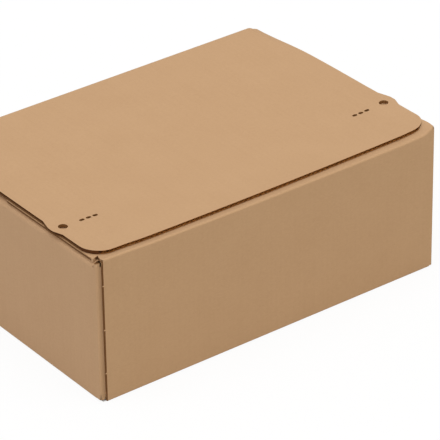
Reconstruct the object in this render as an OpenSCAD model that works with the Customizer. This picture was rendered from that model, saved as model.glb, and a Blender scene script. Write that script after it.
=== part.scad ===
// Corrugated shipping box with a tear-open lid, shown closed.
// Millimetres. The front faces -Y, the floor is z = 0 and the origin is the middle of the base.
// One glued blank makes the walls, the crash-lock bottom, the dust flaps and the front flap.
// The lid is the last flap of that blank and turns on its crease at the top of the back wall.

/* [Box] */
// Outer length, left to right
box_length = 490; // [380:1:640]
// Outer width, front to back
box_width = 350; // [300:1:460]
// Outer height with the lid closed
box_height = 190; // [120:1:300]

/* [Board] */
// Thickness of the corrugated board
board = 4; // [3:0.1:5]
// Thickness of each liner sheet
liner = 0.45; // [0.3:0.05:0.6]
// Thickness of the fluted medium between the liners
medium = 0.35; // [0.2:0.05:0.5]
// Length of one flute wave
flute_pitch = 7; // [6:0.1:9]
// Depth of the open flutes seen in the lid's front edge
flute_depth = 5; // [3:0.5:8]
// Depth of the open channel between the liners along the lid's side edges
channel_depth = 2; // [1:0.5:3]

/* [Folds] */
// Inner radius of the lid's fold
lid_fold_in = 3; // [1:0.5:5]
// Inner radius of the other folds at the top of the walls
top_fold_in = 1; // [0.5:0.5:3]
// Inner radius of the upright folds
corner_fold_in = 1; // [0.5:0.5:3]
// Inner radius of the folds at the bottom
bottom_fold_in = 0.5; // [0.5:0.5:2]
// Outer radius of every fold but the lid's, where the outer liner is creased
crease_radius = 2.5; // [1:0.5:3]
// Free height under the upright folds, where the blank is slotted
corner_lift = 2; // [1:0.5:4]

/* [Glue joint] */
// Distance from the left wall's face to the front wall's cut edge
joint_inset = 7; // [5.5:0.5:10]
// Width of the glue tab behind the front wall
glue_tab_width = 35; // [25:1:50]
// Drop of the glue tab's top and bottom ends below the front wall's folds
glue_tab_relief = 8; // [4:1:16]
// Clearance between the glue tab's foot and the front bottom flap beside it
tab_foot_gap = 0.4; // [0.2:0.1:1]
// Spacing of the small nicks left along the front wall's cut edge
nick_pitch = 57; // [30:1:80]
// Width of a nick along the edge
nick_width = 1.4; // [0.6:0.1:2]
// How far a nick stands out of the edge
nick_reach = 1.8; // [0.5:0.1:3]

/* [Top flaps] */
// Clearance between one folded flap and the next
flap_gap = 0.3; // [0.2:0.1:0.8]
// Clearance between the front flap and the lid, where the closing strip lies
lid_gap = 1; // [0.9:0.1:2]
// Depth of the front flap, from the front wall's face
front_flap_depth = 186; // [120:1:200]
// Inset of the front flap's ends from the side walls' faces
front_flap_inset = 1.4; // [1:0.1:4]
// Distance of the notch beside the front flap's fold from the front wall's face
front_flap_notch = 11.5; // [10:0.5:20]
// How far the notch's point reaches into the front flap
notch_point = 3.3; // [1:0.1:6]
// Radius of the front flap's free corners
front_flap_corner = 6; // [4:1:30]
// Depth of the dust flaps, from the side walls' faces
dust_flap_depth = 130; // [90:1:160]
// Width of the slot between a dust flap and the upright fold beside it
dust_flap_slot = 2; // [1:0.5:10]
// Taper of a dust flap's ends toward its free edge
dust_flap_taper = 8; // [2:1:20]

/* [Bottom flaps] */
// Overlap of each bottom flap past the middle, on its long half
lock_reach = 24; // [12:1:40]
// Length of the slanted step in the lock seam
lock_step = 30; // [16:1:50]
// Radius that rounds the slanted step's corners
lock_round = 6; // [2:1:8]
// Width of the lock seam
lock_seam = 1; // [0.5:0.1:2]
// Depth of the side bottom flaps, from the side walls' faces
side_bottom_depth = 150; // [90:1:170]
// Setback of a side bottom flap's root from the front and back walls' faces
side_bottom_setback = 14; // [13:1:30]
// Width of a side bottom flap at its free edge
side_bottom_tip = 120; // [60:1:200]
// Radius of a side bottom flap's free corners
side_bottom_corner = 10; // [4:1:20]
// Flat part of a side bottom flap on the floor, from its fold to its rise
rise_start = 2; // [1.5:0.5:6]
// Length of the rise that lifts a side bottom flap onto the lock flaps
rise_length = 10; // [8:1:20]
// Radius that rounds the ends of the rise
rise_round = 4; // [1:0.5:4]
// Clearance between the lock flaps' ends and the side bottom flaps
lock_end_gap = 1.5; // [1.2:0.1:4]

/* [Lid] */
// Inset of the lid's side edges from the side walls' faces
lid_side_inset = 0.6; // [0.2:0.1:5]
// Inset of the lid's front edge from the front wall's face
lid_front_inset = 11; // [6:0.5:20]
// Radius of the lid's front corners
lid_corner = 26; // [8:1:36]
// Distance of a tear tab's outer edge ahead of the tear line
tab_lead = 2.5; // [1:0.5:12]
// How far a tear tab stands out of the lid's side edge
tab_reach = 4.6; // [3:0.2:10]
// Length of a tear tab's outer edge
tab_length = 9.5; // [6:0.5:20]
// Length of a tear tab's short slope, toward the front
tab_front_slope = 13; // [6:0.5:16]
// Length of a tear tab's long slope, toward the back
tab_back_slope = 17; // [10:0.5:30]
// Radius that rounds a tear tab's corners
tab_round = 8; // [2:1:12]
// Distance of the tear line from the front wall's face
tear_line = 85; // [70:1:110]
// Diameter of the grip holes
grip_hole_d = 11.5; // [6:0.5:14]
// Distance of a grip hole's centre from the side wall's face
grip_hole_inset = 11.5; // [10:0.5:16]
// Slits in a row on the tear line
slit_count = 3; // [1:1:5]
// Distance of the first slit from the side wall's face
slit_start = 37.5; // [26:0.5:50]
// Spacing of the slits
slit_pitch = 9.2; // [8:0.1:14]
// Length of a slit
slit_length = 6.8; // [5:0.1:7.5]
// Width of a slit
slit_width = 4.2; // [1:0.1:4.8]

/* [Closure] */
// Width of the tear tape
tape_width = 4; // [2:0.5:6]
// Thickness of the tear tape
tape_thickness = 0.2; // [0.1:0.05:0.3]
// Setback of the tear tape behind the tear line
tape_setback = 10; // [8:0.5:16]
// Inset of the tape's ends from the lid's side edges
tape_end_inset = 1; // [0.5:0.5:5]
// Width of the closing strip
strip_width = 22; // [12:1:24]
// Thickness of the closing strip
strip_thickness = 0.25; // [0.1:0.05:0.3]
// Distance of the closing strip from the lid's front edge
strip_setback = 12; // [8:1:20]
// Inset of the closing strip's ends from the lid's side edges
strip_end_inset = 30; // [24:1:60]
// Thickness of the release paper
paper_thickness = 0.2; // [0.1:0.05:0.3]
// Overhang of the release paper past each side of the strip
paper_overhang = 2.5; // [1:0.5:4]

/* [Hidden] */
$fn = 64;

kraft_outside = "#c9a27c";
kraft_lid = "#cca57f";
tape_colour = "#b98d5f";
strip_colour = "#e2cfa6";
paper_colour = "#efe9dc";

// Angle that one facet of a rounded corner turns through
facet_turn = 10;
// Share of a flute wave that its open section leaves closed at each end
flute_margin = 0.12;
// Facets of an open flute's curved side
flute_steps = 4;
// Overshoot of a cutting tool past the face it cuts
past = 1;

half_length = box_length / 2;
half_width = box_width / 2;

// Space that each fold takes along the panels beside it
lid_fold = lid_fold_in + board;
top_fold = top_fold_in + board;
corner_fold = corner_fold_in + board;
bottom_fold = bottom_fold_in + board;

// Heights of the stack at the top, from the lid down
lid_under = box_height - board;
front_flap_top = lid_under - lid_gap;
front_flap_under = front_flap_top - board;
dust_flap_top = front_flap_under - flap_gap;
dust_flap_under = dust_flap_top - board;

// Ends of the flat parts of the walls
wall_foot = bottom_fold;
front_wall_head = front_flap_top - top_fold;
side_wall_head = dust_flap_top - top_fold;
lid_crease_z = box_height - lid_fold;
// Top of the upright folds at the front, just under the front flap
corner_head = dust_flap_top;

// Centres of the upright folds
corner_x = half_length - corner_fold;
corner_y = half_width - corner_fold;

// Front wall, from its cut edge at the glue joint to the front right fold
joint_x = -half_length + joint_inset;
front_right_x = half_length - front_flap_inset;

// Bottom flaps
side_bottom_span = half_width - side_bottom_setback;
side_bottom_fold_x = half_length - bottom_fold;
rise_foot_x = side_bottom_fold_x - rise_start;
rise_head_x = rise_foot_x - rise_length;
lock_end_x = rise_head_x - lock_end_gap;

// Lid
lid_half = half_length - lid_side_inset;
lid_front_y = -half_width + lid_front_inset;
lid_back_y = half_width - lid_fold;
tear_y = -half_width + tear_line;
tab_tip_y = tear_y - tab_lead;
lid_round_y = lid_front_y + lid_corner;

// Fluted medium
flute_height = board - 2 * liner - medium;

// Two-dimensional part of a point [x, y, r]
function xy(p) = [p.x, p.y];
function unit(v) = v / norm(v);

// Points on the arc of radius p[2] that rounds corner p between its neighbours a and b
function arc_at(a, p, b) =
    let (u = unit(xy(a) - xy(p)), v = unit(xy(b) - xy(p)))
    let (half = acos(u * v) / 2, sweep = 180 - 2 * half)
    let (centre = xy(p) + unit(u + v) * p[2] / sin(half))
    let (from = xy(p) + u * p[2] / tan(half) - centre, to = xy(p) + v * p[2] / tan(half) - centre)
    let (steps = ceil(sweep / facet_turn))
    [for (k = [0 : steps])
        let (t = k / steps)
        centre + (sin(sweep * (1 - t)) * from + sin(sweep * t) * to) / sin(sweep)];

// Die-cut outline through corners [x, y, r], each rounded with its radius r
function outline(corners) =
    let (n = len(corners))
    [for (i = [0 : n - 1])
        each (corners[i][2] > 0
            ? arc_at(corners[(i + n - 1) % n], corners[i], corners[(i + 1) % n])
            : [xy(corners[i])])];

// Left-hand corners of an outline, from its right-hand ones
function mirrored(corners) =
    let (n = len(corners))
    [for (i = [0 : n - 1]) [-corners[n - 1 - i].x, corners[n - 1 - i].y, corners[n - 1 - i][2]]];

// Flat panel of board between heights z and z + board
module sheet(corners, z) {
    translate([0, 0, z]) linear_extrude(board) polygon(outline(corners));
}

// Quarter fold of the board about the Z axis, from +X round to +Y, its outer liner creased
module bend(inner, length) {
    size = inner + board;
    flat = size - crease_radius;
    linear_extrude(length)
        difference() {
            union() {
                square([size, flat]);
                square([flat, size]);
                translate([flat, flat]) circle(crease_radius);
            }
            circle(inner);
        }
}

// Quarter bend of the board about the Z axis, from +X round to +Y, with both liners round
module round_bend(inner, length) {
    rotate_extrude(angle = 90) translate([inner, 0]) square([board, length]);
}

// Bend along X from x0 to x1 about (y, z), from +Y round to +Z
module bend_x(inner, x0, x1, y, z) {
    translate([x0, y, z]) rotate([90, 0, 90]) bend(inner, x1 - x0);
}

// Bend along Y from -span to span about (x, z), from +X round to +Z
module bend_y(inner, span, x, z) {
    translate([x, span, z]) rotate([90, 0, 0]) bend(inner, 2 * span);
}

// Upright bend of height from z0 to z1 about (x, y), turned by angle
module bend_z(inner, x, y, z0, z1, angle) {
    translate([x, y, z0]) rotate([0, 0, angle]) bend(inner, z1 - z0);
}

// Wall that runs along X, its outer face at y = -half_width
module long_wall(x0, x1, foot, head) {
    translate([x0, -half_width, foot]) cube([x1 - x0, board, head - foot]);
}

// Wall that runs along Y, its outer face at x = half_length, with its feet beside the bottom flap
module side_wall(y0, y1) {
    inner_x = half_length - board;
    translate([inner_x, y0, wall_foot]) cube([board, y1 - y0, side_wall_head - wall_foot]);
    translate([inner_x, y0, corner_lift]) cube([board, -side_bottom_span - y0, wall_foot - corner_lift]);
    translate([inner_x, side_bottom_span, corner_lift])
        cube([board, y1 - side_bottom_span, wall_foot - corner_lift]);
}

// End of the right wall that stands up between the dust flap's slot and the upright fold at the back
module wall_end() {
    translate([half_length - board, corner_y - board, side_wall_head])
        cube([board, board, corner_head - side_wall_head]);
}

// Front wall with its cut edge at the glue joint, and the nicks left on that edge
module front_wall() {
    long_wall(joint_x, half_length - corner_fold, wall_foot, front_wall_head);
    nick_count = floor((front_wall_head - wall_foot) / nick_pitch);
    for (i = [1 : nick_count])
        translate([joint_x - nick_reach, -half_width, front_wall_head - (i - 0.5) * nick_pitch])
            cube([nick_reach, liner, nick_width]);
}

// Front flap: the fold over the top of the front wall, and the panel that lies on the dust flaps
module front_flap() {
    fold_y = -half_width + top_fold;
    notch_y = -half_width + front_flap_notch;
    free_y = -half_width + front_flap_depth;
    mirror([0, 1, 0])
        bend_x(top_fold_in, joint_x, front_right_x, -fold_y, front_wall_head);
    sheet([
        [joint_x, fold_y, 0],
        [front_right_x, fold_y, 0],
        [front_right_x, free_y, front_flap_corner],
        [-front_right_x, free_y, front_flap_corner],
        [-front_right_x, notch_y, 0],
        [joint_x + notch_point, notch_y + notch_point, 0]
    ], front_flap_under);
}

// Dust flap on the right, with its fold over the top of the side wall
module dust_flap() {
    span = corner_y - board - dust_flap_slot;
    fold_x = half_length - top_fold;
    free_x = half_length - dust_flap_depth;
    bend_y(top_fold_in, span, fold_x, side_wall_head);
    sheet([
        [fold_x, -span, 0],
        [fold_x, span, 0],
        [free_x, span - dust_flap_taper, dust_flap_taper],
        [free_x, dust_flap_taper - span, dust_flap_taper]
    ], dust_flap_under);
}

// Glue tab: the left wall's edge, turned behind the front wall
module glue_tab() {
    tab_y = -half_width + board;
    tab_x = -half_length + corner_fold;
    foot = board + wall_foot;
    foot_width = joint_inset - corner_fold - tab_foot_gap;
    head = side_wall_head;
    bend_z(corner_fold_in, tab_x, tab_y + corner_fold, corner_lift, corner_head, 180);
    translate([tab_x, tab_y + board, 0])
        rotate([90, 0, 0])
            linear_extrude(board)
                polygon([
                    [0, corner_lift],
                    [foot_width, corner_lift],
                    [foot_width, foot],
                    [glue_tab_width, foot + glue_tab_relief],
                    [glue_tab_width, head - glue_tab_relief],
                    [0, head]
                ]);
}

// Bottom flap of the front wall, with its half of the lock seam; the back one is the same, turned
module lock_flap(x0, x1) {
    fold_y = -half_width + bottom_fold;
    shoulder_y = -side_bottom_span - lock_end_gap;
    half_seam = lock_seam / 2;
    mirror([0, 1, 0]) mirror([0, 0, 1])
        bend_x(bottom_fold_in, x0, x1, -fold_y, -wall_foot);
    sheet([
        [x0, fold_y, 0],
        [x1, fold_y, 0],
        [lock_end_x, shoulder_y, 0],
        [lock_end_x, -lock_reach - half_seam, 0],
        [lock_step / 2, -lock_reach - half_seam, lock_round],
        [-lock_step / 2, lock_reach - half_seam, lock_round],
        [-lock_end_x, lock_reach - half_seam, 0],
        [-lock_end_x, shoulder_y, 0]
    ], 0);
}

// Side bottom flap on the right: it starts on the floor, rises over the lock flaps' ends and lies on them
module side_bottom_flap() {
    free_x = half_length - side_bottom_depth;
    mirror([0, 0, 1])
        bend_y(bottom_fold_in, side_bottom_span, side_bottom_fold_x, -wall_foot);
    intersection() {
        translate([0, side_bottom_span, 0])
            rotate([90, 0, 0])
                linear_extrude(2 * side_bottom_span)
                    polygon(outline([
                        [side_bottom_fold_x, 0, 0],
                        [side_bottom_fold_x, board, 0],
                        [rise_foot_x, board, rise_round],
                        [rise_head_x, 2 * board, rise_round],
                        [free_x, 2 * board, 0],
                        [free_x, board, 0],
                        [rise_head_x, board, rise_round],
                        [rise_foot_x, 0, rise_round]
                    ]));
        linear_extrude(2 * board)
            polygon(outline([
                [side_bottom_fold_x, -side_bottom_span, 0],
                [side_bottom_fold_x, side_bottom_span, 0],
                [free_x, side_bottom_tip / 2, side_bottom_corner],
                [free_x, -side_bottom_tip / 2, side_bottom_corner]
            ]));
    }
}

module carton() {
    color(kraft_outside) union() {
        front_wall();
        mirror([0, 1, 0]) long_wall(-corner_x, corner_x, wall_foot, lid_crease_z);
        side_wall(-corner_y, corner_y);
        mirror([1, 0, 0]) side_wall(-corner_y + board, corner_y);
        wall_end();
        mirror([0, 1, 0]) wall_end();
        mirror([1, 0, 0]) wall_end();

        bend_z(corner_fold_in, corner_x, -corner_y, corner_lift, corner_head, -90);
        bend_z(corner_fold_in, corner_x, corner_y, corner_lift, lid_crease_z, 0);
        bend_z(corner_fold_in, -corner_x, corner_y, corner_lift, lid_crease_z, 90);
        glue_tab();

        dust_flap();
        mirror([1, 0, 0]) dust_flap();
        front_flap();

        lock_flap(joint_x, corner_x);
        rotate([0, 0, 180]) lock_flap(-corner_x, corner_x);
        side_bottom_flap();
        mirror([1, 0, 0]) side_bottom_flap();
    }
}

// Right-hand corners of the lid's outline, from the front round to the back
lid_right_corners = [
    [lid_half, lid_front_y, lid_corner],
    [lid_half, tab_tip_y - tab_front_slope, tab_round],
    [lid_half + tab_reach, tab_tip_y, tab_round],
    [lid_half + tab_reach, tab_tip_y + tab_length, tab_round],
    [lid_half, tab_tip_y + tab_length + tab_back_slope, tab_round],
    [lid_half, lid_back_y, 0]
];
lid_corners = concat(lid_right_corners, mirrored(lid_right_corners));

// Section of the open flute above the medium's trough, for one wave along X.
// flip = 1 gives the one above the medium and flip = -1 the one below it.
module flute_section(flip) {
    rise = flute_height / 2;
    polygon([for (k = [0 : flute_steps])
        let (t = flute_margin + (1 - 2 * flute_margin) * k / flute_steps)
        let (crest = k == 0 || k == flute_steps)
        [flute_pitch * (t - 0.5), flip * (crest ? board / 2 - liner : rise * cos(360 * t) + medium / 2)]]);
}

// Open flutes cut into the lid's front edge, following its rounded corners
module front_flutes() {
    count = floor((lid_half - flute_pitch) / flute_pitch);
    for (i = [-count : count], flip = [1, -1]) {
        x = (i + (flip > 0 ? 0 : 0.5)) * flute_pitch;
        over = max(0, abs(x) - (lid_half - lid_corner));
        edge_y = lid_round_y - sqrt(lid_corner * lid_corner - over * over);
        translate([x, edge_y + flute_depth, lid_under + board / 2])
            rotate([90, 0, 0])
                linear_extrude(flute_depth + edge_y - lid_front_y + past)
                    flute_section(flip);
    }
}

// Open channel between the liners along the lid's right edge, where the board is cut along a flute
module edge_channel() {
    inner_x = lid_half - channel_depth - past;
    difference() {
        translate([inner_x, lid_round_y, lid_under + liner])
            cube([lid_half + tab_reach + past - inner_x, lid_back_y - lid_round_y, board - 2 * liner]);
        translate([-channel_depth, 0, 0])
            sheet(lid_corners, lid_under);
    }
}

// Slits with round ends along the tear line
module slits() {
    straight = slit_length - slit_width;
    for (i = [0 : slit_count - 1])
        translate([half_length - slit_start - i * slit_pitch, tear_y, lid_under - past]) {
            translate([-straight / 2, -slit_width / 2, 0])
                cube([straight, slit_width, board + 2 * past]);
            for (end = [-1, 1])
                translate([end * straight / 2, 0, 0])
                    cylinder(d = slit_width, h = board + 2 * past);
        }
}

module grip_hole() {
    translate([half_length - grip_hole_inset, tear_y, lid_under - past])
        cylinder(d = grip_hole_d, h = board + 2 * past);
}

module lid() {
    color(kraft_lid) difference() {
        union() {
            sheet(lid_corners, lid_under);
            translate([-lid_half, lid_back_y, lid_crease_z])
                rotate([90, 0, 90])
                    round_bend(lid_fold_in, 2 * lid_half);
        }
        front_flutes();
        for (side = [0, 1]) mirror([side, 0, 0]) {
            edge_channel();
            grip_hole();
            slits();
        }
    }
}

// Flat strip under the lid, from y0 to y1 and from z down by its thickness
module under_lid(end_inset, y0, y1, z, thickness) {
    span = lid_half - end_inset;
    translate([-span, y0, z - thickness]) cube([2 * span, y1 - y0, thickness]);
}

module tear_tape() {
    y0 = tear_y + tape_setback - tape_width / 2;
    color(tape_colour) under_lid(tape_end_inset, y0, y0 + tape_width, lid_under, tape_thickness);
}

module adhesive_strip() {
    y0 = lid_front_y + strip_setback;
    color(strip_colour) under_lid(strip_end_inset, y0, y0 + strip_width, lid_under, strip_thickness);
}

module release_paper() {
    y0 = lid_front_y + strip_setback - paper_overhang;
    color(paper_colour)
        under_lid(strip_end_inset - paper_overhang, y0, y0 + strip_width + 2 * paper_overhang,
            lid_under - strip_thickness, paper_thickness);
}

carton();
lid();
tear_tape();
adhesive_strip();
release_paper();
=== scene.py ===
"""Looks of the corrugated shipping box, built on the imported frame.

Units are metres in the frame's own axes: the front faces -Y and the floor is z = 0.
"""

import math

import bmesh
import bpy
from mathutils import Matrix, Vector
from mathutils.bvhtree import BVHTree


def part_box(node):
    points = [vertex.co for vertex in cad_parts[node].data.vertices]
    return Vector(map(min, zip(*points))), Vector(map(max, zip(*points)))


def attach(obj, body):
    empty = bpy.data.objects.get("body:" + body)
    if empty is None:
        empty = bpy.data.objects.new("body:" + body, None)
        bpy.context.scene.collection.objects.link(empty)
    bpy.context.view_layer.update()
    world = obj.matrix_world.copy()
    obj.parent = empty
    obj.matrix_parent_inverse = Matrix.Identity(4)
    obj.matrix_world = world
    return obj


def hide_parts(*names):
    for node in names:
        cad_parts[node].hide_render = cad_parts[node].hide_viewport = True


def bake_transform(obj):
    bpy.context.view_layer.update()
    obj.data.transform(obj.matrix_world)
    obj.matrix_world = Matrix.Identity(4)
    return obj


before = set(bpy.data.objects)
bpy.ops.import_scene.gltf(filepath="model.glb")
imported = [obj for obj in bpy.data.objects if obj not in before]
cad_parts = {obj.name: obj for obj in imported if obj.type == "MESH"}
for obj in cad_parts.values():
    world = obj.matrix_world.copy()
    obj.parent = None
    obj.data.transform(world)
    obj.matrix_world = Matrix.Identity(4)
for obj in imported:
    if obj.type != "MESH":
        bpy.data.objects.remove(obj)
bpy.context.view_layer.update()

# Sizes that the frame gives
CARTON_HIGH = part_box("carton")[1]
LID_LOW, LID_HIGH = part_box("lid")
HALF_LENGTH = CARTON_HIGH.x
HALF_WIDTH = CARTON_HIGH.y
CREASE_Z = LID_LOW.z
LID_TOP = LID_HIGH.z
LID_FOLD = LID_TOP - CREASE_Z

# Sizes of the board
BOARD = 0.004
FLUTE_PITCH = 0.007
# Where in a wave the board is cut at the flaps' ends
FLUTE_PHASE = 0.05
# Heights of the flaps' outer faces, with the gap between them, and the depth of a fold of the walls
FLAP_GAP = 0.0003
FLAP_TOP = CARTON_HIGH.z
DUST_FLAP_TOP = FLAP_TOP - BOARD - FLAP_GAP
FOLD = 0.005
# Where, from the middle of the bottom, the side flaps lie on the lock flaps, and how wide their feet are
RAISED_START = 0.09
FOOT_WIDTH = 0.017

# Where the lid's straight side edges lie
LID_INSET = 0.0006
LID_RIGHT = HALF_LENGTH - LID_INSET
LID_LEFT = -LID_RIGHT
# Size of its front corners
LID_CORNER = 0.026
# How far in from its sides a cut gets the painted shade of an open channel, and how much it faces the side
CHANNEL_SHADE_ROOM = 0.0045
CHANNEL_SHADE_FACING = 0.45

# Facets across the lid's crease
CREASE_STEPS = 12
# Spacing of the cuts that let a flat panel bow, and the places of the closer cuts near the corners
CELL = 0.012
CLOSE_CUTS = (
    (-0.2395, -0.2345, -0.229, -0.2225, 0.216, 0.2225, 0.229, 0.2345, 0.2395),
    (-0.172, -0.168, -0.1605, 0.150, 0.1605),
    (0.1712, 0.1735, 0.1752, 0.1768))
# Bow of the top's front edge and, over that, of the front wall's fold: heights in the middle, what the
# ends have more, and the tilt to the right
TOP_BOW = (-0.0025, 0.0026, 0.00064)
FOLD_BOW = (0.0014, -0.0006, -0.00144)
# How far behind the front fold the flap follows the fold's own bow
FOLD_REACH = 0.011
# Shares of the top's width: the bow is gone after BOW_REACH, and the ends' own warp fades over the last
# HINGE_REACH before the crease
BOW_REACH = 0.9
HINGE_REACH = 0.4
# The ends roll down behind the front edge
ROLL = -0.0007
ROLL_REACH = 0.15
# Their last part, from a share of half the length on, curls up again
CURL_LEFT = 0.0007
CURL_RIGHT = 0.0010
CURL_START = 0.86
CURL_REACH = 0.05
# The front corners lift, from a share of half the length on. LIFT_FADE of that fades from LIFT_BACK of the
# top's width to twice that
LIFT = 0.0010
LIFT_START_LEFT = 0.70
LIFT_START_RIGHT = 0.80
LIFT_WIDTH = 0.13
LIFT_FADE = 0.6
LIFT_BACK = 0.2
# How far the lid's left and right sides lie to the right of their crease
LID_SHIFT_LEFT = 0.0008
LID_SHIFT_RIGHT = 0.0028
# Radius to which the side walls' folds bulge at the top
BULGE = 0.0075
# The right front corner stands up by EAR_LIFT, from EAR_START to the side wall and from EAR_FOOT up, and
# EAR_FADE of that is gone at EAR_DEPTH behind the front wall
EAR_LIFT = 0.0068
EAR_START = 0.226
EAR_FADE = 0.9
EAR_DEPTH = 0.075
EAR_FOOT = 0.150
# The right back corner is pressed down by CORNER_DROP, from CORNER_START to the side wall, over
# CORNER_DEPTH at the back and from CORNER_FOOT up
CORNER_DROP = 0.0050
CORNER_START = 0.2315
CORNER_DEPTH = 0.110
CORNER_FOOT = 0.110
# Angle under which two faces of a fold are shaded as one, and that under which they are one flat face
SMOOTH_ANGLE = math.radians(35)
FLAT_ANGLE = math.radians(0.5)
# Distances under which vertices are one, and a face lies on a plane, on the lid's liner or near a fold
MERGE = 1e-6
ON_PLANE = 2e-5
ON_LINER = 5e-5
NEAR = 0.0001
# A face is cut board where more than CUT_DEPTH lies behind it. The board's thickness is measured
# PROBE_DEPTH inside a cut, and right within BOARD_ERROR
CUT_DEPTH = 2.1 * BOARD
PROBE_DEPTH = 0.0005
BOARD_ERROR = 0.0004
# Limits for a normal's part along an axis: under LEVEL or over SQUARE the face is one of a flat panel, and
# the others tell which way a face looks
LEVEL = 0.03
SQUARE = 0.997
BARELY = 0.3
ACROSS = 0.5
MOSTLY = 0.7

# Camera, fitted to the box's edges in the photograph
CAMERA_AIM = Vector((0.03294, -0.03050, 0.07503))
CAMERA_AZIMUTH = math.radians(-36.76)
CAMERA_ELEVATION = math.radians(30.24)
CAMERA_ROLL = math.radians(-0.88)
CAMERA_DISTANCE = 3.973
CAMERA_LENS = 271.2
SENSOR_WIDTH = 36.0

# Share of the floor's white that doesn't take the shadow, and its grey as it lights the box
FLOOR_WHITE = 0.90
FLOOR_GREY = 0.60
FLOOR_SIZE = 12.0
FLOOR_HEIGHT = -0.0002
# How far inside the box's walls the plain patch of floor under it ends
PATCH_INSET = 0.003
PATCH_HEIGHT = -0.0001
WORLD_LIGHT = 0.56

# Colours as they are seen, in sRGB
KRAFT_DARK = (0.740, 0.588, 0.435)
KRAFT_LIGHT = (0.787, 0.637, 0.484)
FIBRE_SPECK = (0.600, 0.445, 0.300)
CUT_PAPER = (0.755, 0.600, 0.435)
CUT_PAPER_DARK = (0.640, 0.480, 0.320)
# Painted shade inside the flutes' hollows, where a cut shows no paper
FLUTE_HOLLOW_SHADE = (0.415, 0.280, 0.160)
TAPE_TAN = (0.740, 0.585, 0.400)
GLUE_CREAM = (0.860, 0.800, 0.640)
RELEASE_WHITE = (0.905, 0.880, 0.820)
WHITE = (1, 1, 1, 1)
# Dark and light brown of each kind of cut: the carton's, the lid's holes, its front edge and its sides
RAW_CUT = ((0.390, 0.250, 0.125), (0.540, 0.386, 0.236))
PUNCHED_CUT = ((0.440, 0.285, 0.145), (0.600, 0.435, 0.260))
OPEN_FLUTES = ((0.505, 0.300, 0.115), (0.685, 0.455, 0.220))
# The sides' browns are painted shade: darker than the cut's own colour, as the shade inside open channels
OPEN_CHANNEL_SHADE = ((0.275, 0.148, 0.050), (0.385, 0.222, 0.085))


def linear(colour):
    """Linear RGBA of an sRGB colour."""
    parts = [c / 12.92 if c <= 0.04045 else ((c + 0.055) / 1.055) ** 2.4 for c in colour]
    return (*parts, 1.0)


class Shader:
    """One material's node tree, with short calls for the nodes that this scene uses."""

    def __init__(self, name):
        self.material = bpy.data.materials.new(name)
        self.material.use_nodes = True
        self.nodes = self.material.node_tree.nodes
        self.links = self.material.node_tree.links
        self.surface = self.nodes["Principled BSDF"]
        self.point = self.nodes.new("ShaderNodeTexCoord").outputs["Object"]

    def put(self, socket, value):
        """Gives a socket a constant, or the output of another node."""
        if isinstance(value, bpy.types.NodeSocket):
            self.links.new(value, socket)
        else:
            socket.default_value = value

    def math(self, operation, a, b=0.0):
        """The result of one operation on a and b."""
        node = self.nodes.new("ShaderNodeMath")
        node.operation = operation
        self.put(node.inputs[0], a)
        self.put(node.inputs[1], b)
        return node.outputs[0]

    def stretched(self, scale):
        """The object's own coordinates, multiplied by scale."""
        node = self.nodes.new("ShaderNodeVectorMath")
        node.operation = "MULTIPLY"
        self.put(node.inputs[0], self.point)
        self.put(node.inputs[1], scale)
        return node.outputs[0]

    def noise(self, scale, detail=2.0, roughness=0.5):
        """Noise from 0 to 1, with scale in waves per metre, one number or one along each axis."""
        scale = scale if isinstance(scale, tuple) else (scale, scale, scale)
        node = self.nodes.new("ShaderNodeTexNoise")
        self.put(node.inputs["Vector"], self.stretched(scale))
        self.put(node.inputs["Scale"], 1.0)
        self.put(node.inputs["Detail"], detail)
        self.put(node.inputs["Roughness"], roughness)
        return node.outputs["Fac"]

    def ramp(self, value, low, high):
        """0 where value is under low, 1 over high, and straight between."""
        node = self.nodes.new("ShaderNodeMapRange")
        self.put(node.inputs["Value"], value)
        self.put(node.inputs["From Min"], low)
        self.put(node.inputs["From Max"], high)
        return node.outputs["Result"]

    def layered(self, *layers):
        """The sum of layers, each multiplied by the share that follows it."""
        total = None
        for layer, share in layers:
            part = self.math("MULTIPLY", layer, share)
            total = part if total is None else self.math("ADD", total, part)
        return total

    def mix(self, share, a, b):
        """Colour a where share is 0 and colour b where it is 1."""
        node = self.nodes.new("ShaderNodeMix")
        node.data_type = "RGBA"
        self.put(node.inputs["Factor"], share)
        self.put(node.inputs["A"], a)
        self.put(node.inputs["B"], b)
        return node.outputs["Result"]

    def wave(self, axis, period):
        """Sine from -1 to 1 along one axis of the object."""
        split = self.nodes.new("ShaderNodeSeparateXYZ")
        self.put(split.inputs[0], self.point)
        turns = self.math("MULTIPLY", split.outputs[axis], 2 * math.pi / period)
        return self.math("SINE", turns)

    def bump(self, height, strength, distance):
        """Raises the surface by height, where 1 is distance metres."""
        node = self.nodes.new("ShaderNodeBump")
        self.put(node.inputs["Strength"], strength)
        self.put(node.inputs["Distance"], distance)
        self.put(node.inputs["Height"], height)
        self.put(self.surface.inputs["Normal"], node.outputs["Normal"])

    def finish(self, colour, roughness, specular=0.3):
        """Sets the surface's looks and gives its material."""
        self.put(self.surface.inputs["Base Color"], colour)
        self.put(self.surface.inputs["Roughness"], roughness)
        self.put(self.surface.inputs["Specular IOR Level"], specular)
        return self.material


def scale_along(axis, along, beside):
    """A noise scale that is along on one axis and beside on the two others."""
    return tuple(along if each == axis else beside for each in range(3))


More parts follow.
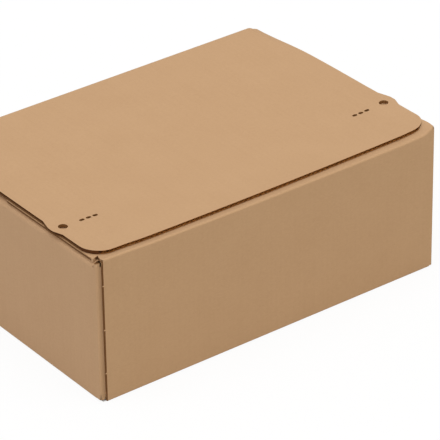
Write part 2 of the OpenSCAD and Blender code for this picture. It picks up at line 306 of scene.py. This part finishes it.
def kraft_liner(name, across):
    """Kraft liner over flutes that follow one another along axis across, 0 for X and 1 for Y."""
    shader = Shader(name)
    # Paper fibres lie across the flutes, so they run along the axis across
    fibre = shader.noise(scale_along(across, 240.0, 1900.0), detail=3.0, roughness=0.6)
    cloud = shader.noise(22.0, detail=3.0)
    mottle = shader.noise(420.0)
    flute = shader.wave(across, FLUTE_PITCH)
    streak = shader.noise(scale_along(across, 160.0, 5.0))

    # The flute wave darkens the tone a little as painted shade of the washboard; the bump below gives its
    # real relief
    tone = shader.layered((cloud, 0.22), (fibre, 0.50), (mottle, 0.30), (streak, 0.10), (flute, 0.012))
    paper = shader.mix(shader.ramp(tone, low=0.30, high=0.82), linear(KRAFT_DARK), linear(KRAFT_LIGHT))

    speck = shader.noise(scale_along(across, 500.0, 1500.0), detail=1.0)
    speck_share = shader.math("MULTIPLY", shader.ramp(speck, low=0.74, high=0.80), 0.40)
    colour = shader.mix(speck_share, paper, linear(FIBRE_SPECK))

    height = shader.layered((flute, 0.25), (fibre, 0.5), (mottle, 0.4))
    shader.bump(height, strength=0.30, distance=0.00008)
    return shader.finish(colour, roughness=0.82)


def cut_edge(name, browns):
    """Cut board, where the ends of the fibres show."""
    shader = Shader(name)
    grain = shader.noise((900.0, 900.0, 1600.0), detail=3.0, roughness=0.6)
    dark, light = browns
    colour = shader.mix(shader.ramp(grain, low=0.35, high=0.65), linear(dark), linear(light))
    shader.bump(grain, strength=0.5, distance=0.0002)
    return shader.finish(colour, roughness=0.95, specular=0.2)


def fluted_edge():
    """Cut board drawn on its map, with painted shade in the flutes' hollows: u counts flute waves and v
    runs from -1 to 1 through the board.
    """
    shader = Shader("fluted_edge")
    split = shader.nodes.new("ShaderNodeSeparateXYZ")
    shader.put(split.inputs[0], shader.nodes.new("ShaderNodeTexCoord").outputs["UV"])
    u, v = split.outputs[0], split.outputs[1]
    # As shares of half the board: how ragged the cut is, and how high the medium's waves rise
    roughened, wave_height = 0.22, 0.66
    grain = shader.noise(1100.0, detail=3.0, roughness=0.6)
    ragged = shader.math("MULTIPLY", shader.math("SUBTRACT", grain, 0.5), roughened)
    turns = shader.math("MULTIPLY", u, 2 * math.pi)
    medium = shader.math("MULTIPLY", shader.math("SINE", turns), wave_height)
    off_medium = shader.math("ABSOLUTE", shader.math("SUBTRACT", shader.math("ADD", v, ragged), medium))
    on_medium = shader.ramp(off_medium, low=0.34, high=0.20)
    from_middle = shader.math("ADD", shader.math("ABSOLUTE", v), ragged)
    on_liner = shader.ramp(from_middle, low=0.72, high=0.80)
    paper = shader.math("MAXIMUM", on_medium, on_liner)
    cut = shader.mix(shader.ramp(grain, low=0.35, high=0.65), linear(CUT_PAPER_DARK), linear(CUT_PAPER))
    # Between the paper, the flutes' hollows are painted dark as shade
    colour = shader.mix(paper, linear(FLUTE_HOLLOW_SHADE), cut)
    shader.bump(paper, strength=0.6, distance=0.0006)
    return shader.finish(colour, roughness=0.92, specular=0.2)


def plastic_tape():
    """Thin tear tape, drawn tight along its length."""
    shader = Shader("tear_tape_film")
    draw = shader.noise((30.0, 2600.0, 30.0))
    colour = shader.mix(draw, linear(TAPE_TAN), linear(KRAFT_LIGHT))
    shader.bump(draw, strength=0.3, distance=0.00005)
    return shader.finish(colour, roughness=0.38, specular=0.5)


def glue_film():
    """Closing glue, spread along the strip."""
    shader = Shader("closing_glue")
    flow = shader.noise((60.0, 700.0, 60.0))
    colour = shader.mix(flow, linear(GLUE_CREAM), linear(KRAFT_LIGHT))
    shader.bump(flow, strength=0.4, distance=0.00008)
    return shader.finish(colour, roughness=0.45, specular=0.5)


def silicone_paper():
    """Release paper with the faint wrinkles of a strip that was rolled on."""
    shader = Shader("silicone_paper")
    wrinkle = shader.noise((90.0, 14.0, 90.0))
    fibre = shader.noise(1400.0)
    tone = shader.layered((wrinkle, 0.5), (fibre, 0.5))
    colour = shader.mix(shader.ramp(tone, low=0.3, high=0.7), linear(RELEASE_WHITE), linear(GLUE_CREAM))
    shader.bump(wrinkle, strength=0.5, distance=0.0003)
    return shader.finish(colour, roughness=0.42, specular=0.5)


def smoothstep(t):
    """0 for t up to 0, 1 from t = 1 on, and eased between."""
    t = min(1.0, max(0.0, t))
    return t * t * (3 - 2 * t)


def bowed(s, middle, ends, tilt):
    """Height of a bowed line at s, which runs from -1 at the left end to 1 at the right end."""
    return middle + ends * s * s + tilt * s


def sagged(p):
    """How far the box's top lies over its flat place at a point, and how far its corner is pressed down."""
    s = p.x / HALF_LENGTH
    back = (p.y + HALF_WIDTH) / (2 * HALF_WIDTH)
    off_hinge = smoothstep((1 - back) / HINGE_REACH)
    sag = bowed(s, *TOP_BOW) * (1 - smoothstep(back / BOW_REACH))
    roll = ROLL * s * s * smoothstep(back / ROLL_REACH) * off_hinge
    curl = (CURL_LEFT if s < 0 else CURL_RIGHT) * smoothstep((abs(s) - CURL_START) / (1 - CURL_START))
    curl *= smoothstep(back / CURL_REACH)
    curl *= off_hinge
    lift_start = LIFT_START_LEFT if s < 0 else LIFT_START_RIGHT
    lift = LIFT * smoothstep((abs(s) - lift_start) / LIFT_WIDTH)
    lift *= 1 - LIFT_FADE * smoothstep((back - LIFT_BACK) / LIFT_BACK)
    drop = CORNER_DROP * smoothstep((p.x - CORNER_START) / (HALF_LENGTH - CORNER_START))
    drop *= smoothstep((p.y - HALF_WIDTH + CORNER_DEPTH) / CORNER_DEPTH)
    drop *= smoothstep((p.z - CORNER_FOOT) / (CREASE_Z - CORNER_FOOT))
    return sag + roll + curl + lift * off_hinge, drop


def rounded_over(p):
    """Pulls the fold at the top of a side wall in to the soft round that springy board makes."""
    out = abs(p.x) - (HALF_LENGTH - BULGE)
    up = p.z - (DUST_FLAP_TOP - BULGE)
    reach = math.hypot(out, up)
    off_fold = out < 0 or up < 0 or p.z > DUST_FLAP_TOP + ON_PLANE or abs(p.y) > HALF_WIDTH - 2 * FOLD
    if off_fold or reach <= BULGE:
        return p
    share = BULGE / reach
    x = math.copysign(HALF_LENGTH - BULGE + out * share, p.x)
    return Vector((x, p.y, DUST_FLAP_TOP - BULGE + up * share))


def settled(p):
    """Where a point of the closed box lies once the board has sagged and sprung at its folds."""
    p = rounded_over(p)
    s = p.x / HALF_LENGTH
    sag, drop = sagged(p)
    at_fold = 1 - smoothstep((p.y + HALF_WIDTH) / FOLD_REACH)
    fold = bowed(s, *FOLD_BOW) * at_fold
    ear = EAR_LIFT * smoothstep((p.x - EAR_START) / (HALF_LENGTH - EAR_START))
    ear *= 1 - EAR_FADE * smoothstep((p.y + HALF_WIDTH) / EAR_DEPTH)
    ear *= max(0.0, (p.z - EAR_FOOT) / (FLAP_TOP - EAR_FOOT)) ** 3
    return Vector((p.x, p.y, p.z + (sag + fold) * (p.z / LID_TOP) ** 2 + ear - drop))


def settled_lid(p):
    """As settled, for what the lid carries: it has also slid a little to the right of its crease."""
    sag, drop = sagged(p)
    across = (1 + p.x / HALF_LENGTH) / 2
    shift = LID_SHIFT_LEFT + (LID_SHIFT_RIGHT - LID_SHIFT_LEFT) * across
    shift *= smoothstep((HALF_WIDTH - p.y) / HALF_WIDTH)
    return Vector((p.x + shift, p.y, p.z + sag - drop))


def cut_into_cells(bm, low, high):
    """Cuts a mesh by planes a cell apart along each axis, and closer near the corners that are warped."""
    for axis in range(3):
        count = int((high[axis] - low[axis]) / CELL)
        places = [low[axis] + (high[axis] - low[axis]) * i / (count + 1) for i in range(1, count + 1)]
        for offset in places + list(CLOSE_CUTS[axis]):
            place = Vector((0, 0, 0))
            place[axis] = offset
            normal = Vector((0, 0, 0))
            normal[axis] = 1
            geometry = bm.verts[:] + bm.edges[:] + bm.faces[:]
            bmesh.ops.bisect_plane(bm, geom=geometry, dist=MERGE, plane_co=place, plane_no=normal)


# Places of the finishes in a piece's list of materials
LONG, SIDE, EDGE, FLUTED, FRONT, SHADED_CHANNEL = range(6)


def on_side_panel(point):
    """Whether a point of a flap belongs to a side wall's flap, whose flutes run along X."""
    dust_flap = DUST_FLAP_TOP - BOARD - NEAR < point.z < DUST_FLAP_TOP + NEAR
    dust_flap = dust_flap and abs(point.y) < HALF_WIDTH - 2 * FOLD
    low = point.z < 2 * BOARD + NEAR
    raised = low and point.z > BOARD + NEAR and abs(point.x) > RAISED_START
    foot = low and abs(point.x) > HALF_LENGTH - FOOT_WIDTH
    return dust_flap or raised or foot


def slanted(part):
    """Whether a normal with this part along an axis is that of a fold, neither level nor square."""
    return LEVEL < abs(part) < SQUARE


def is_liner(face, centre):
    """Whether a face near a fold is liner, where the board's thickness can't be told from inside."""
    normal = face.normal
    if slanted(normal.z):
        return True
    near_x = abs(centre.x) > HALF_LENGTH - FOLD - NEAR
    near_y = abs(centre.y) > HALF_WIDTH - 2 * FOLD
    if abs(normal.z) < LEVEL and slanted(normal.x) and near_x and near_y:
        return True
    if abs(centre.x) > HALF_LENGTH - ON_PLANE or abs(centre.y) > HALF_WIDTH - ON_PLANE:
        return True
    if centre.z > FLAP_TOP - ON_PLANE or centre.z < ON_PLANE:
        return True
    if abs(centre.z - DUST_FLAP_TOP) < ON_PLANE and normal.z > SQUARE and not near_y:
        return True
    glue_tab = centre.x < FOLD - HALF_LENGTH and abs(centre.y + HALF_WIDTH - BOARD) < ON_PLANE
    return glue_tab and normal.y < -SQUARE


def carton_finish(face, centre, tree):
    """Which board finish a face of the carton has."""
    inward = -face.normal
    thickness = tree.ray_cast(centre + inward * ON_PLANE, inward)[3]
    deep = thickness is None or thickness > CUT_DEPTH
    if deep and not is_liner(face, centre):
        return FLUTED if cut_edge_map(face, centre, tree)[0] == 2 else EDGE
    if abs(face.normal.x) > MOSTLY or abs(face.normal.y) < BARELY and on_side_panel(centre):
        return SIDE
    return LONG


def cut_edge_map(face, centre, tree):
    """Axis through the board, the board's middle along it and the axis across its flutes, at a cut edge."""
    inside = centre - face.normal * PROBE_DEPTH
    for axis in (2, 1, 0):
        if abs(face.normal[axis]) > ACROSS:
            continue
        ray = Vector((0, 0, 0))
        ray[axis] = 1
        over, under = tree.ray_cast(inside, ray)[3], tree.ray_cast(inside, -ray)[3]
        if over is not None and under is not None and abs(over + under - BOARD) < BOARD_ERROR:
            across = 1 if axis == 0 or axis == 2 and on_side_panel(centre) else 0
            return axis, centre[axis] + (over - under) / 2, across
    return None, 0.0, 0


def lid_finish(face, centre, tree):
    """Which board finish a face of the lid has: liner on its two sides and at its crease, cut elsewhere,
    with painted shade on the cuts near its sides that face them.
    """
    at_crease = centre.y > HALF_WIDTH - LID_FOLD - NEAR
    outer = abs(centre.z - LID_TOP) < ON_LINER
    under = abs(centre.z - (LID_TOP - BOARD)) < ON_LINER
    if at_crease or outer or under:
        return LONG
    at_front = centre.y < LID_LOW.y + LID_CORNER
    at_side = abs(centre.x) > LID_RIGHT - (LID_CORNER if at_front else CHANNEL_SHADE_ROOM)
    # Cuts near the sides that face sideways get the darker browns, painted shade of an open channel
    if at_side and abs(face.normal.x) > CHANNEL_SHADE_FACING:
        return SHADED_CHANNEL
    return FRONT if at_front else EDGE


def plain_finish(face, centre, tree):
    """The one finish of a strip."""
    return 0


def dressed(node, name, materials, finish_of, settle, cut_back=None):
    """A copy of a CAD node's mesh that bows as board does, with a material for each kind of face.

    It ends at y = cut_back, where that is given.
    """
    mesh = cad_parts[node].data.copy()
    mesh.name = name
    mesh.materials.clear()
    for material in materials:
        mesh.materials.append(material)
    bm = bmesh.new()
    bm.from_mesh(mesh)
    bmesh.ops.remove_doubles(bm, verts=bm.verts[:], dist=MERGE)
    bmesh.ops.dissolve_limit(bm, angle_limit=FLAT_ANGLE, verts=bm.verts[:], edges=bm.edges[:])
    low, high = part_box(node)
    if cut_back is not None:
        geometry = bm.verts[:] + bm.edges[:] + bm.faces[:]
        cut = bmesh.ops.bisect_plane(
            bm, geom=geometry, dist=MERGE, plane_co=(0, cut_back, 0), plane_no=(0, 1, 0), clear_outer=True)
        rim = [item for item in cut["geom_cut"] if isinstance(item, bmesh.types.BMEdge)]
        bmesh.ops.holes_fill(bm, edges=rim)
        high.y = cut_back
    cut_into_cells(bm, low, high)
    bm.normal_update()
    tree = BVHTree.FromBMesh(bm)
    flat_map = bm.loops.layers.uv.new("flat_map")
    for face in bm.faces:
        centre = face.calc_center_median()
        face.material_index = finish_of(face, centre, tree)
        face.smooth = True
        if face.material_index == FLUTED:
            through, middle, across = cut_edge_map(face, centre, tree)
            for loop in face.loops:
                place = loop.vert.co
                waves = place[across] / FLUTE_PITCH + FLUTE_PHASE
                loop[flat_map].uv = (waves, (place[through] - middle) * 2 / BOARD)
    for vertex in bm.verts:
        vertex.co = settle(vertex.co)
    bm.to_mesh(mesh)
    bm.free()
    mesh.set_sharp_from_angle(angle=SMOOTH_ANGLE)
    piece = bpy.data.objects.new(name, mesh)
    bpy.context.scene.collection.objects.link(piece)
    normals = piece.modifiers.new("flat_panels", "WEIGHTED_NORMAL")
    normals.keep_sharp = True
    return piece


def lid_crease(liner, cut):
    """The fold that joins the lid to the back wall: a curved strip of board."""
    centre_y = HALF_WIDTH - LID_FOLD
    rounds = []
    for radius in (LID_FOLD, LID_FOLD - BOARD):
        turns = [math.pi / 2 * k / CREASE_STEPS for k in range(CREASE_STEPS + 1)]
        rounds.append([(centre_y + radius * math.cos(a), CREASE_Z + radius * math.sin(a)) for a in turns])
    section = rounds[0] + rounds[1][::-1]
    bm = bmesh.new()
    steps = int((LID_RIGHT - LID_LEFT) / CELL)
    even = [LID_LEFT + (LID_RIGHT - LID_LEFT) * k / steps for k in range(steps + 1)]
    stations = sorted({*even, *(x for x in CLOSE_CUTS[0] if LID_LEFT < x < LID_RIGHT)})
    rows = [[bm.verts.new(settled_lid(Vector((x, y, z)))) for y, z in section] for x in stations]
    count = len(section)
    for left, right in zip(rows, rows[1:]):
        for k in range(count):
            after = (k + 1) % count
            bm.faces.new((left[k], left[after], right[after], right[k]))
    first, last = rows[0], rows[-1]
    for outer in range(CREASE_STEPS):
        inner = count - 1 - outer
        ends = (
            bm.faces.new((first[outer], first[inner], first[inner - 1], first[outer + 1])),
            bm.faces.new((last[outer + 1], last[inner - 1], last[inner], last[outer])))
        for end in ends:
            end.material_index = 1
    bmesh.ops.recalc_face_normals(bm, faces=bm.faces[:])
    mesh = bpy.data.meshes.new("lid_crease")
    bm.to_mesh(mesh)
    bm.free()
    mesh.materials.append(liner)
    mesh.materials.append(cut)
    mesh.shade_smooth()
    mesh.set_sharp_from_angle(angle=SMOOTH_ANGLE)
    piece = bpy.data.objects.new("lid_crease", mesh)
    bpy.context.scene.collection.objects.link(piece)
    return piece


def board_materials():
    """Materials of the board, in the order of LONG, SIDE, EDGE and FLUTED."""
    return [
        kraft_liner("kraft_long_panels", 0), kraft_liner("kraft_side_panels", 1),
        cut_edge("raw_cut", RAW_CUT), fluted_edge()]


def make_box():
    """The dressed pieces, each in the place of its solid."""
    board = board_materials()
    carton = dressed("carton", "carton_board", board, carton_finish, settled)
    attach(carton, "carton")
    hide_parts("carton")

    # The last material paints the shade of the open channels along the lid's sides
    lid_board = [
        board[LONG], board[SIDE], cut_edge("punched_cut", PUNCHED_CUT), board[FLUTED],
        cut_edge("open_flutes", OPEN_FLUTES), cut_edge("open_channel_painted_shade", OPEN_CHANNEL_SHADE)]
    lid = dressed("lid", "lid_board", lid_board, lid_finish, settled_lid, cut_back=HALF_WIDTH - LID_FOLD)
    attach(lid, "lid")
    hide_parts("lid")

    crease = lid_crease(board[LONG], board[EDGE])
    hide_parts("lid")
    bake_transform(crease)

    tape = dressed("tear_tape", "tear_tape_strip", [plastic_tape()], plain_finish, settled_lid)
    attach(tape, "lid")
    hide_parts("tear_tape")

    glue = dressed("adhesive_strip", "closing_strip", [glue_film()], plain_finish, settled_lid)
    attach(glue, "lid")
    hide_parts("adhesive_strip")

    paper = dressed("release_paper", "release_paper_strip", [silicone_paper()], plain_finish, settled_lid)
    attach(paper, "lid")
    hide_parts("release_paper")


def seen_directly(tree):
    """1 where the camera, a reflection or clear material sees a surface, and 0 where only light does."""
    path = tree.nodes.new("ShaderNodeLightPath")
    seen = path.outputs["Is Camera Ray"]
    for also in ("Is Glossy Ray", "Is Transmission Ray"):
        either = tree.nodes.new("ShaderNodeMath")
        either.operation = "MAXIMUM"
        tree.links.new(seen, either.inputs[0])
        tree.links.new(path.outputs[also], either.inputs[1])
        seen = either.outputs[0]
    return seen


def white_to_the_camera(tree, lit, output, share):
    """Mixes a shader with plain white where it is seen directly."""
    amount = tree.nodes.new("ShaderNodeMath")
    amount.operation = "MULTIPLY"
    amount.inputs[1].default_value = share
    tree.links.new(seen_directly(tree), amount.inputs[0])
    white = tree.nodes.new("ShaderNodeEmission" if share < 1 else "ShaderNodeBackground")
    white.inputs["Color"].default_value = WHITE
    white.inputs["Strength"].default_value = 1.0
    blend = tree.nodes.new("ShaderNodeMixShader")
    tree.links.new(amount.outputs[0], blend.inputs[0])
    tree.links.new(lit, blend.inputs[1])
    tree.links.new(white.outputs[0], blend.inputs[2])
    tree.links.new(blend.outputs[0], output)


def floor_sheet(name, half_x, half_y, z, material):
    """A level sheet of the stage at height z, with the half sizes half_x and half_y."""
    corners = [(-half_x, -half_y, 0), (half_x, -half_y, 0), (half_x, half_y, 0), (-half_x, half_y, 0)]
    mesh = bpy.data.meshes.new(name)
    mesh.from_pydata(corners, [], [(0, 1, 2, 3)])
    mesh.materials.append(material)
    sheet = bpy.data.objects.new(name, mesh)
    sheet.location.z = z
    bpy.context.scene.collection.objects.link(sheet)


def floor_material(name, share):
    """Grey to the light that it sends up, white to the camera, with share of that white free of shadow."""
    material = bpy.data.materials.new(name)
    material.use_nodes = True
    tree = material.node_tree
    surface = tree.nodes["Principled BSDF"]
    surface.inputs["Roughness"].default_value = 0.9
    surface.inputs["Specular IOR Level"].default_value = 0.0
    shade = tree.nodes.new("ShaderNodeMix")
    shade.data_type = "RGBA"
    shade.inputs["A"].default_value = (FLOOR_GREY, FLOOR_GREY, FLOOR_GREY, 1)
    shade.inputs["B"].default_value = WHITE
    tree.links.new(seen_directly(tree), shade.inputs["Factor"])
    tree.links.new(shade.outputs["Result"], surface.inputs["Base Color"])
    if share > 0:
        output = tree.nodes["Material Output"].inputs["Surface"]
        white_to_the_camera(tree, surface.outputs[0], output, share)
    return material


def make_stage():
    """White floor that keeps a soft shadow, dark under the box as a real one, and an even white world."""
    half = FLOOR_SIZE / 2
    floor_sheet("floor", half, half, FLOOR_HEIGHT, floor_material("white_floor", FLOOR_WHITE))
    floor_sheet(
        "floor_under_box", HALF_LENGTH - PATCH_INSET, HALF_WIDTH - PATCH_INSET, PATCH_HEIGHT,
        floor_material("shaded_floor", 0))

    world = bpy.data.worlds.new("white_world")
    bpy.context.scene.world = world
    world.use_nodes = True
    tree = world.node_tree
    ambient = tree.nodes["Background"]
    ambient.inputs["Color"].default_value = WHITE
    ambient.inputs["Strength"].default_value = WORLD_LIGHT
    white_to_the_camera(tree, ambient.outputs[0], tree.nodes["World Output"].inputs["Surface"], 1.0)


def direction(azimuth, elevation):
    """Unit vector towards an azimuth, from -Y towards +X, and an elevation over the floor."""
    level = math.cos(elevation)
    return Vector((math.sin(azimuth) * level, -math.cos(azimuth) * level, math.sin(elevation)))


def add_sun(name, azimuth, elevation, strength, spread, colour):
    """A wide soft lamp. Azimuth 0 shines from -Y and 90 from +X, and its angles are in degrees."""
    lamp = bpy.data.lights.new(name, "SUN")
    lamp.energy = strength
    lamp.angle = math.radians(spread)
    lamp.color = colour
    sun = bpy.data.objects.new(name, lamp)
    toward = direction(math.radians(azimuth), math.radians(elevation))
    sun.rotation_mode = "QUATERNION"
    sun.rotation_quaternion = toward.to_track_quat("Z", "Y")
    bpy.context.scene.collection.objects.link(sun)


def make_lights():
    """One light from above and two weak ones, from the front and from the left."""
    add_sun("overhead", azimuth=-20, elevation=78, strength=1.15, spread=60, colour=(1.0, 1.0, 1.0))
    add_sun("front_fill", azimuth=25, elevation=25, strength=0.35, spread=80, colour=(1.0, 0.88, 0.50))
    add_sun("left_fill", azimuth=-95, elevation=25, strength=0.56, spread=80, colour=(0.87, 0.88, 1.0))


def make_camera():
    """The camera of the photograph."""
    back = direction(CAMERA_AZIMUTH, CAMERA_ELEVATION)
    right = (-back).cross(Vector((0, 0, 1))).normalized()
    up = right.cross(-back)
    tilt = Matrix.Rotation(CAMERA_ROLL, 3, back)
    right, up = tilt @ right, tilt @ up
    data = bpy.data.cameras.new("camera")
    data.lens = CAMERA_LENS
    data.sensor_width = SENSOR_WIDTH
    camera = bpy.data.objects.new("camera", data)
    camera.matrix_world = Matrix.Translation(CAMERA_AIM + back * CAMERA_DISTANCE) @ Matrix((
        (right.x, up.x, back.x, 0),
        (right.y, up.y, back.y, 0),
        (right.z, up.z, back.z, 0),
        (0, 0, 0, 1),
    ))
    bpy.context.scene.collection.objects.link(camera)
    bpy.context.scene.camera = camera


make_camera()
make_stage()
make_lights()
make_box()
bpy.context.scene.view_settings.view_transform = "Standard"
